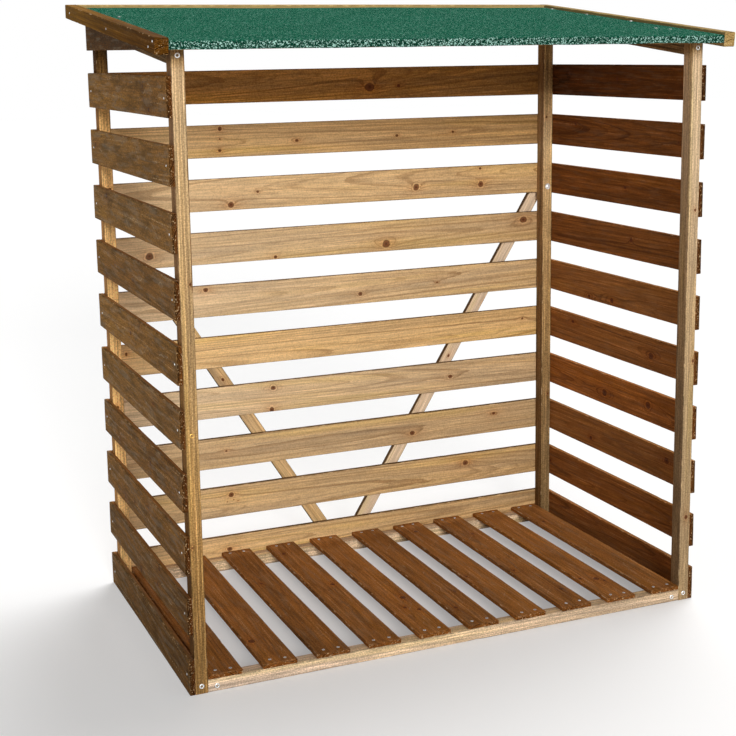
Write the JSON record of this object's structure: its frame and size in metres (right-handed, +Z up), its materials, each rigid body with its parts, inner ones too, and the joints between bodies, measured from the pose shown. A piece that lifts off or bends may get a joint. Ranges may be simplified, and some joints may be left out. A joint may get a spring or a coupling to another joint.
{
  "type": "log store",
  "caption": "Open-fronted slatted timber log store with a raised slatted floor and a felted lean-to roof that falls towards the front.",
  "frame": {"origin": "on the ground, under the middle of the whole store, roof included", "axes": "+X to the right seen from the open front, +Y from the open front to the slatted back, +Z up"},
  "size_m": [1.48, 0.9258, 1.6067],
  "materials": {
    "post_timber": "sawn softwood, pressure treated, honey brown",
    "rail_timber": "planed softwood, pale",
    "side_slat_timber": "pressure-treated softwood, olive brown",
    "back_slat_timber": "pressure-treated softwood, light tan",
    "floor_timber": "pressure-treated softwood, golden brown",
    "brace_timber": "softwood, grey tan",
    "trim_timber": "softwood batten, honey brown",
    "deck_timber": "sawn softwood boards",
    "roof_felt": "bitumen felt surfaced with green mineral granules"
  },
  "bodies": {
    "root": {"back_floor_rail": "rail_timber", "back_left_post": "post_timber", "back_right_post": "post_timber", "back_roof_trim": "trim_timber", "back_slats": "back_slat_timber", "floor_boards": "floor_timber", "front_floor_rail": "rail_timber", "front_left_post": "post_timber", "front_right_post": "post_timber", "left_back_brace": "brace_timber", "left_roof_trim": "trim_timber", "left_slat_1": "side_slat_timber", "left_slat_10": "side_slat_timber", "left_slat_2": "side_slat_timber", "left_slat_3": "side_slat_timber", "left_slat_4": "side_slat_timber", "left_slat_5": "side_slat_timber", "left_slat_6": "side_slat_timber", "left_slat_7": "side_slat_timber", "left_slat_8": "side_slat_timber", "left_slat_9": "side_slat_timber", "left_top_rail": "rail_timber", "left_top_slat": "side_slat_timber", "right_back_brace": "brace_timber", "right_roof_trim": "trim_timber", "right_slat_1": "side_slat_timber", "right_slat_10": "side_slat_timber", "right_slat_2": "side_slat_timber", "right_slat_3": "side_slat_timber", "right_slat_4": "side_slat_timber", "right_slat_5": "side_slat_timber", "right_slat_6": "side_slat_timber", "right_slat_7": "side_slat_timber", "right_slat_8": "side_slat_timber", "right_slat_9": "side_slat_timber", "right_top_rail": "rail_timber", "right_top_slat": "side_slat_timber", "roof_deck": "deck_timber", "roof_felt": "roof_felt"}
  },
  "joints": []
}
